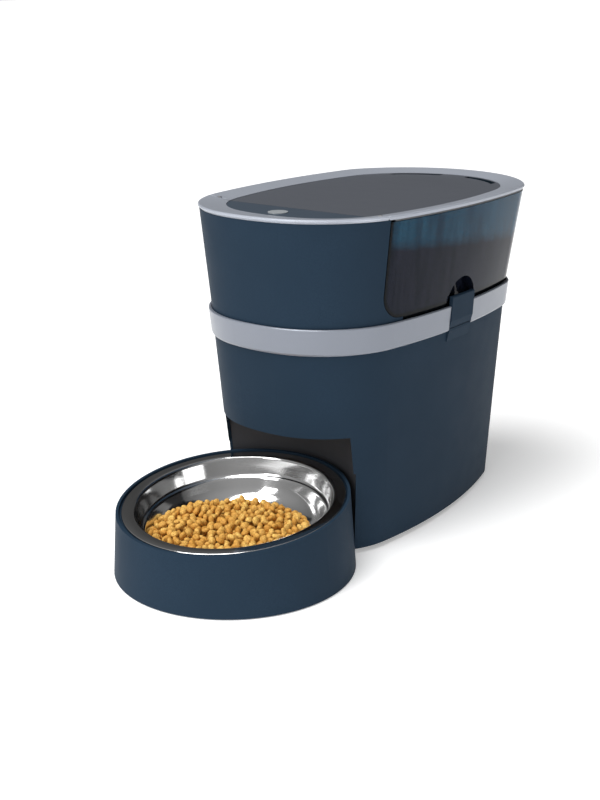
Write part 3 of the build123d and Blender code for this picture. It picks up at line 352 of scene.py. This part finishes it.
# Bowl: a smooth spun form in the place of the CAD bowl
HOLDER_Y = -136.2 * MM
BOWL_RIM_Z = 65.9 * MM
BOWL_TILT = radians(5.83)
BOWL_DROP = 0.9 * MM
bowl_place = (
    Matrix.Translation((0, HOLDER_Y, BOWL_RIM_Z))
    @ Matrix.Rotation(BOWL_TILT, 4, "X")
    @ Matrix.Translation((0, 0, -BOWL_DROP))
)
BOWL_TURNS = 144


def rounded_path(corners, steps=6):
    """Path through corners given as (r, z, radius), with each corner rounded."""
    points = []
    for index, (x, z, radius) in enumerate(corners):
        here = Vector((x, z))
        if radius == 0 or index in (0, len(corners) - 1):
            points.append(here)
            continue
        back = Vector(corners[index - 1][:2]) - here
        ahead = Vector(corners[index + 1][:2]) - here
        reach = min(radius, back.length * 0.49, ahead.length * 0.49)
        start = here + back.normalized() * reach
        end = here + ahead.normalized() * reach
        for step in range(steps + 1):
            t = step / steps
            points.append(start * (1 - t) ** 2 + here * (2 * t * (1 - t)) + end * t**2)
    return points


# Inside of the bowl as (radius, height from the flange, rounding), in mm
BOWL_INSIDE = [
    (0.0, -45.0, 0),
    (57.0, -45.0, 9),
    (76.0, -34.0, 12),
    (82.3, -19.0, 2.0),
    (85.2, -17.2, 1.6),
    (88.4, -6.0, 6),
    (90.2, 0.0, 3.0),
    (100.6, 0.0, 0),
]


# The rolled edge under the flange, and the outside of the bowl, about 1 mm from its inside
BOWL_EDGE = [
    (101.15, -0.12),
    (101.5, -0.45),
    (101.6, -0.9),
    (101.6, -1.6),
    (101.45, -1.95),
    (101.1, -2.0),
    (100.8, -1.9),
    (100.6, -1.6),
    (100.4, -1.1),
    (100.0, -1.0),
]
BOWL_OUTSIDE = [
    (0.0, -46.0, 0),
    (57.4, -46.0, 9),
    (76.8, -34.6, 12),
    (83.2, -19.8, 2.0),
    (86.1, -18.0, 1.6),
    (89.3, -6.8, 6),
    (91.2, -1.0, 2.2),
    (99.6, -1.0, 0),
]


def ring_of(mesh, radius, height):
    """Circle of vertices about the upright axis, in mm; a single one on the axis."""
    if radius == 0:
        return [mesh.verts.new((0, 0, height * MM))]
    reach = radius * MM
    ring = []
    for turn in range(BOWL_TURNS):
        angle = 2 * pi * turn / BOWL_TURNS
        ring.append(mesh.verts.new((reach * cos(angle), reach * sin(angle), height * MM)))
    return ring


def make_bowl():
    profile = rounded_path(BOWL_INSIDE) + [Vector(p) for p in BOWL_EDGE]
    profile += list(reversed(rounded_path(BOWL_OUTSIDE)))
    mesh = bmesh.new()
    rings = [ring_of(mesh, *point) for point in profile]
    for ring, following in zip(rings, rings[1:]):
        for turn in range(BOWL_TURNS):
            after = (turn + 1) % BOWL_TURNS
            if len(ring) == 1:
                mesh.faces.new((ring[0], following[turn], following[after]))
            elif len(following) == 1:
                mesh.faces.new((ring[turn], following[0], ring[after]))
            else:
                mesh.faces.new((ring[turn], following[turn], following[after], ring[after]))
    bmesh.ops.recalc_face_normals(mesh, faces=mesh.faces)
    mesh.transform(bowl_place)
    return mesh


bowl_steel = turned_steel("bowl_polish", (0.62, 0.62, 0.62), 0.10, 2400.0, (0.0, HOLDER_Y))
bowl = new_piece("bowl_spun", make_bowl(), "food_bowl", bowl_steel)
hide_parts("food_bowl")


# Dry food
# Lumps of a nugget as (height, fineness), its proportions, and the depth of the dents in its faces
LUMPS = ((0.13, 1.3), (0.05, 3.5))
NUGGET_DEPTH = 0.80
NUGGET_HEIGHT = 0.62
NUGGET_DENT = 0.10
NUGGET_SHAPES = 7


def kibble_shapes(seed, count):
    """Rounded, slightly flattened nuggets of about unit radius, as (points, faces)."""
    shapes = []
    for index in range(count):
        mesh = bmesh.new()
        bmesh.ops.create_cube(mesh, size=2.0)
        bmesh.ops.subdivide_edges(mesh, edges=mesh.edges, cuts=3, use_grid_fill=True)
        offset = Vector((seed * 7.1 + index * 3.7, index * 5.3, seed))
        for vert in mesh.verts:
            ray = vert.co.normalized()
            lump = 1.0
            for height, fineness in LUMPS:
                lump += height * noise.noise(ray * fineness + offset)
            dent = NUGGET_DENT * max(0.0, 1.0 - (ray.x**2 + ray.y**2) * 3.0)
            vert.co = Vector((ray.x, ray.y * NUGGET_DEPTH, ray.z * (NUGGET_HEIGHT - dent))) * lump
        mesh.verts.index_update()
        points = [vert.co.copy() for vert in mesh.verts]
        shapes.append((points, [[vert.index for vert in face.verts] for face in mesh.faces]))
        mesh.free()
    return shapes


def kibble_mesh(name, places, seed, body, mat):
    """One piece from many nuggets, each given as (centre, radius), all in metres."""
    chance = random.Random(seed)
    shapes = kibble_shapes(seed, NUGGET_SHAPES)
    points, faces, tones = [], [], []
    for centre, radius in places:
        shape, cells = chance.choice(shapes)
        turn = Euler([chance.uniform(0, 2 * pi) for _ in range(3)]).to_matrix()
        tone = chance.random()
        start = len(points)
        for point in shape:
            points.append(centre + turn @ (point * radius))
            tones.append(tone)
        faces += [[start + index for index in cell] for cell in cells]
    data = bpy.data.meshes.new(name)
    data.from_pydata(points, [], faces)
    layer = data.color_attributes.new("tone", "FLOAT_COLOR", "POINT")
    for index, tone in enumerate(tones):
        layer.data[index].color = (tone, tone, tone, 1.0)
    for face in data.polygons:
        face.use_smooth = True
    data.materials.append(mat)
    obj = bpy.data.objects.new(name, data)
    bpy.context.scene.collection.objects.link(obj)
    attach(obj, body)


# Heap in the bowl, in mm: its middle, height, the radius of its flat top, its slope, and how far
# from the bowl's axis its food may rest
PILE = Vector((9.0, -154.0))
PILE_TOP = 47.0
PILE_FLAT = 58.0
PILE_SLOPE = 0.62
BOWL_REACH = 86.0


def pile_height(x, y):
    """Height of the heap in the bowl, in mm, before the nuggets' own bumps."""
    away = hypot(x - PILE.x, y - PILE.y)
    swell = 2.0 * noise.noise(Vector((x * 0.03, y * 0.03, 4.2)))
    return PILE_TOP + swell - PILE_SLOPE * max(0.0, away - PILE_FLAT)


def bowl_floor(x, y):
    """Height of the bowl's inner surface at a plan place, in mm, or None outside it."""
    radius = hypot(x, y - HOLDER_Y / MM)
    if radius > BOWL_REACH:
        return None
    depth = BOWL_INSIDE[0][1]
    for (r0, z0, _), (r1, z1, _) in zip(BOWL_INSIDE, BOWL_INSIDE[1:]):
        if r0 <= radius <= r1 and r1 > r0:
            depth = z0 + (z1 - z0) * (radius - r0) / (r1 - r0)
            break
    rim = BOWL_RIM_Z / MM - BOWL_DROP / MM + (y - HOLDER_Y / MM) * sin(BOWL_TILT)
    return rim + depth


# Share of the radii at which two dropped balls touch, the drawn size of a nugget against its ball,
# and how many short rolls it tries
TOUCH = 0.93
DRAWN_SIZE = 1.12
ROLLS = 24


def drop_nuggets(seed, count, radius, sample, floor, roof):
    """Drops balls one by one; each rolls a little way down before it stops."""
    chance = random.Random(seed)
    cell = 2.4 * radius
    grid = {}
    placed = []

    def rest(x, y, r):
        base = floor(x, y)
        if base is None:
            return None
        best = base + r
        cx, cy = int(x // cell), int(y // cell)
        for i in range(cx - 1, cx + 2):
            for j in range(cy - 1, cy + 2):
                for ox, oy, oz, orr in grid.get((i, j), ()):
                    gap = (x - ox) ** 2 + (y - oy) ** 2
                    reach = (r + orr) * TOUCH
                    if gap < reach * reach:
                        best = max(best, oz + sqrt(reach * reach - gap))
        return best

    for _ in range(count):
        x, y = sample(chance)
        r = radius * chance.uniform(0.88, 1.12)
        z = rest(x, y, r)
        if z is None:
            continue
        step = r * 0.5
        for _ in range(ROLLS):
            angle = chance.uniform(0, 2 * pi)
            nx, ny = x + step * cos(angle), y + step * sin(angle)
            nz = rest(nx, ny, r)
            if nz is not None and nz < z:
                x, y, z = nx, ny, nz
            else:
                step *= 0.9
        if z + 0.3 * r > roof(x, y):
            continue
        grid.setdefault((int(x // cell), int(y // cell)), []).append((x, y, z, r))
        placed.append((Vector((x, y, z)) * MM, r * MM * DRAWN_SIZE))
    return placed


HEAP_CELLS = range(-40, 60)


def heap_mesh(inside, top, bottom, step=6.0):
    """Closed core under the nuggets over the plan places that are inside."""
    mesh = bmesh.new()
    upper, lower = {}, {}
    for i in HEAP_CELLS:
        for j in HEAP_CELLS:
            x, y = i * step, j * step
            if inside(x, y):
                upper[i, j] = mesh.verts.new((x * MM, y * MM, top(x, y) * MM))
                lower[i, j] = mesh.verts.new((x * MM, y * MM, bottom(x, y) * MM))
    rims = {}
    for i, j in upper:
        ring = [(i, j), (i + 1, j), (i + 1, j + 1), (i, j + 1)]
        if all(key in upper for key in ring):
            mesh.faces.new([upper[key] for key in ring])
            mesh.faces.new([lower[key] for key in reversed(ring)])
            for a, b in zip(ring, ring[1:] + ring[:1]):
                if (b, a) in rims:
                    del rims[b, a]
                else:
                    rims[a, b] = True
    for a, b in rims:
        mesh.faces.new((lower[a], lower[b], upper[b], upper[a]))
    loose = [v for v in mesh.verts if not v.link_faces]
    bmesh.ops.delete(mesh, geom=loose, context="VERTS")
    return mesh


# In mm: how deep the solid core lies under the top of a heap, how far a nugget's middle keeps from
# the bowl's wall, the radius of the circle over which nuggets are dropped, and a nugget's radius
CORE_DEPTH = 9.0
WALL_ROOM = 4.8
PILE_REACH = 96.0
BOWL_NUGGET = 3.7
BOWL_NUGGETS = 2600


def core_top(x, y):
    return pile_height(x, y) - CORE_DEPTH


def core_inside(x, y):
    base = bowl_floor(x, y)
    return base is not None and core_top(x, y) > base + 2.5


golden = kibble_material("kibble_golden", (1.0, 0.67, 0.185), (0.70, 0.33, 0.050))
# Core under the nuggets, far darker than the food itself: painted shade in the gaps between nuggets
core_shade = kibble_material("kibble_core", (0.30, 0.13, 0.03), (0.24, 0.10, 0.02))
# The hopper's food: a darker copy of the same food, as painted shade inside the bin
food_shaded = kibble_material("kibble_shaded", (0.26, 0.16, 0.10), (0.17, 0.10, 0.06))


def pile_floor(x, y):
    """Where a nugget may rest, in mm: on the core or clear of the bowl's wall, or None."""
    radius = hypot(x, y - HOLDER_Y / MM)
    reach = 1.0 + WALL_ROOM / max(radius, 1.0)
    base = bowl_floor(x * reach, HOLDER_Y / MM + (y - HOLDER_Y / MM) * reach)
    if base is None:
        return None
    if core_inside(x, y):
        return max(base + 0.5, core_top(x, y))
    return base + 0.5


def pile_sample(chance):
    angle = chance.uniform(0, 2 * pi)
    reach = PILE_REACH * sqrt(chance.random())
    return PILE.x + reach * cos(angle), PILE.y + reach * sin(angle)


def pile_roof(x, y):
    return pile_height(x, y) + 3.0


bowl_places = drop_nuggets(11, BOWL_NUGGETS, BOWL_NUGGET, pile_sample, pile_floor, pile_roof)
kibble_mesh("bowl_kibble", bowl_places, 5, "food_bowl", golden)
core = heap_mesh(core_inside, core_top, lambda x, y: bowl_floor(x, y) + 1.0)
new_piece("bowl_kibble_core", core, "food_bowl", core_shade)


# Dry food in the hopper, behind its smoky wall
hopper = nodes["hopper_bin"].data
hopper_skin = BVHTree.FromPolygons(
    [vert.co for vert in hopper.vertices],
    [list(face.vertices) for face in hopper.polygons],
)
HOPPER_MIDDLE = Vector((0.0, 0.075))
# Height of the hopper's floor, and the top of the food as (y, z) from front to rear, all in mm
HOPPER_FLOOR = 223.5
FILL_LINE = [
    (-40.0, 294.0),
    (-17.0, 289.0),
    (14.0, 286.0),
    (55.0, 285.0),
    (112.0, 280.0),
    (161.0, 273.0),
    (230.0, 266.0),
]


def fill_height(x, y):
    """Top of the food in the hopper, in mm."""
    level = FILL_LINE[-1][1]
    for (y0, z0), (y1, z1) in zip(FILL_LINE, FILL_LINE[1:]):
        if y <= y1:
            level = z0 + (z1 - z0) * (max(y, y0) - y0) / (y1 - y0)
            break
    return level + 2.5 * noise.noise(Vector((x * 0.02, y * 0.035, 1.7)))


def wall_at(angle, height):
    """Inner wall of the hopper seen from its middle: the place and the way inwards, in metres."""
    ray = Vector((cos(angle), sin(angle), 0.0))
    start = Vector((HOPPER_MIDDLE.x, HOPPER_MIDDLE.y, height * MM))
    spot, normal, _, _ = hopper_skin.ray_cast(start, ray)
    if normal.dot(ray) > 0:
        normal = -normal
    return spot, normal


def wall_reach(x, y, height):
    """How far a plan place is inside the wall at a height in mm, in metres."""
    angle = atan2(y * MM - HOPPER_MIDDLE.y, x * MM - HOPPER_MIDDLE.x)
    spot, normal = wall_at(angle, height)
    return (Vector((x, y)) * MM - spot.xy).dot(normal.xy)


def low_wall_reach(x, y):
    """How far a plan place is inside the narrow foot of the hopper, in mm."""
    return wall_reach(x, y, HOPPER_FOOT) / MM


# In mm: the height at which the hopper's foot is measured, the height at which rows of nuggets
# stop, the radius of a nugget, and how deep the two upper layers lie under the top of the food
HOPPER_FOOT = 232.0
ROWS_END = 300.0
FOOD_SIZE = 4.3
TOP_LAYERS = (3.0, 8.5)


def food_radius(chance):
    return FOOD_SIZE * MM * chance.uniform(0.92, 1.12)


def wall_places(chance):
    """Nuggets in two layers against the wall, up to the top of the food."""
    places = []
    height = HOPPER_FLOOR + FOOD_SIZE
    while height < ROWS_END:
        turn = 0.0
        while turn < 2 * pi:
            spot, normal = wall_at(turn, height)
            away = (spot.xy - HOPPER_MIDDLE).length
            for layer in (0, 1):
                inset = (FOOD_SIZE * (1.02 + 1.75 * layer) + chance.uniform(0.0, 0.8)) * MM
                centre = spot + normal * inset
                centre.z += chance.uniform(-1.2, 1.2) * MM
                x, y = centre.x / MM, centre.y / MM
                covered = centre.z / MM < fill_height(x, y) - 1.0
                if covered and (layer == 0 or low_wall_reach(x, y) < 10.0):
                    places.append((centre, food_radius(chance)))
            turn += 1.72 * FOOD_SIZE * MM / away * chance.uniform(0.9, 1.1)
        height += 1.55 * FOOD_SIZE
    return places


def top_places(chance):
    """Nuggets in two layers over the top of the food."""
    places = []
    step = 1.7 * FOOD_SIZE
    for i in range(-16, 17):
        for j in range(-9, 36):
            x = (i + 0.5 * (j % 2)) * step + chance.uniform(-1.5, 1.5)
            y = j * step + chance.uniform(-1.5, 1.5)
            top = fill_height(x, y)
            if wall_reach(x, y, top - 3.0) > (FOOD_SIZE + 0.6) * MM:
                for sink in TOP_LAYERS:
                    z = top - sink + chance.uniform(-1.2, 1.6)
                    places.append((Vector((x, y, z)) * MM, food_radius(chance)))
    return places


def store_inside(x, y):
    return abs(x) < 110 and -38 < y < 235 and low_wall_reach(x, y) > 7.5


hopper_chance = random.Random(23)
hopper_places = wall_places(hopper_chance) + top_places(hopper_chance)
kibble_mesh("hopper_kibble", hopper_places, 9, "hopper", food_shaded)
store = heap_mesh(
    store_inside,
    lambda x, y: fill_height(x, y) - CORE_DEPTH,
    lambda x, y: HOPPER_FLOOR,
    7.0,
)
new_piece("hopper_kibble_core", store, "hopper", core_shade)


# Floor, light and camera
FLOOR_HALF = 400.0
FLOOR_DARK = (0.90, 0.90, 0.90)
FLOOR_LIGHT = (0.93, 0.93, 0.93)
FLOOR_GLOW = 0.32


def stage_floor():
    """Plain pale floor, lifted a little by its own light so that shadows stay soft."""
    mesh = bmesh.new()
    signs = ((-1, -1), (1, -1), (1, 1), (-1, 1))
    corners = [mesh.verts.new((x * FLOOR_HALF, y * FLOOR_HALF, 0.0)) for x, y in signs]
    mesh.faces.new(corners)
    data = bpy.data.meshes.new("floor")
    mesh.to_mesh(data)
    mesh.free()
    mat, tree, shader = material("floor_white")
    cloud = spread(tree, grain(tree, place(tree), 3.0, 2.0), 0.0, 1.0)
    tone = blend_colour(tree, cloud, FLOOR_DARK, FLOOR_LIGHT)
    tree.links.new(tone, shader.inputs["Base Color"])
    shader.inputs["Roughness"].default_value = 0.85
    shader.inputs["Emission Color"].default_value = (1.0, 1.0, 1.0, 1.0)
    shader.inputs["Emission Strength"].default_value = FLOOR_GLOW
    data.materials.append(mat)
    obj = bpy.data.objects.new("floor", data)
    bpy.context.scene.collection.objects.link(obj)


def studio_world():
    """Soft surroundings, bright above the front and dim to the sides and behind."""
    world = bpy.data.worlds.new("studio")
    bpy.context.scene.world = world
    world.use_nodes = True
    tree = world.node_tree
    back = tree.nodes["Background"]
    back.inputs["Color"].default_value = (1.0, 1.0, 1.0, 1.0)
    towards = tree.nodes.new("ShaderNodeVectorMath")
    towards.operation = "DOT_PRODUCT"
    heading = tree.nodes.new("ShaderNodeTexCoord").outputs["Generated"]
    tree.links.new(heading, towards.inputs[0])
    towards.inputs[1].default_value = (0.10, -0.70, 0.70)
    glow = spread(tree, towards.outputs["Value"], 0.08, 0.45, -0.1, 0.95)
    tree.links.new(glow, back.inputs["Strength"])


def sun(strength, spread_angle, tilt, heading):
    data = bpy.data.lights.new("sky_soft", "SUN")
    data.energy = strength
    data.angle = radians(spread_angle)
    obj = bpy.data.objects.new("sky_soft", data)
    bpy.context.scene.collection.objects.link(obj)
    obj.rotation_euler = Euler((radians(tilt), 0.0, radians(heading)))


def area_light(name, spot, target, width, height, power):
    data = bpy.data.lights.new(name, "AREA")
    data.shape = "RECTANGLE"
    data.size = width
    data.size_y = height
    data.energy = power
    obj = bpy.data.objects.new(name, data)
    bpy.context.scene.collection.objects.link(obj)
    obj.location = spot
    aim = Vector(target) - Vector(spot)
    obj.rotation_euler = aim.to_track_quat("-Z", "Y").to_euler()


# Each as (name, place, aimed at, width, height, watts), in metres
AREA_LIGHTS = [
    ("top_soft", (-0.2, -0.5, 1.8), (0.0, -0.1, 0.0), 0.7, 0.7, 8.0),
    ("front_soft", (-0.3, -2.1, 1.1), (0.0, -0.05, 0.15), 0.7, 0.9, 12.0),
    ("right_panel", (1.3, -0.15, 0.24), (0.0, -0.14, 0.05), 0.6, 0.42, 1.8),
]

stage_floor()
studio_world()
sun(2.2, 40.0, 28.0, -8.0)
for light in AREA_LIGHTS:
    area_light(*light)
bpy.context.scene.view_settings.view_transform = "Standard"

# The photo's camera: place in metres, lens in mm, and pitch, heading and roll in degrees
CAMERA_PLACE = (0.7152, -0.9184, 0.4957)
CAMERA_LENS = 56.9
CAMERA_PITCH = -17.726
CAMERA_HEADING = 39.166
CAMERA_ROLL = -0.573

camera_data = bpy.data.cameras.new("camera")
camera_data.sensor_fit = "AUTO"
camera_data.sensor_width = 36.0
camera_data.lens = CAMERA_LENS
camera = bpy.data.objects.new("camera", camera_data)
bpy.context.scene.collection.objects.link(camera)
look = Euler((radians(90.0 + CAMERA_PITCH), 0.0, radians(CAMERA_HEADING))).to_matrix()
look = look @ Matrix.Rotation(radians(CAMERA_ROLL), 3, "Z")
camera.matrix_world = Matrix.Translation(CAMERA_PLACE) @ look.to_4x4()
bpy.context.scene.camera = camera

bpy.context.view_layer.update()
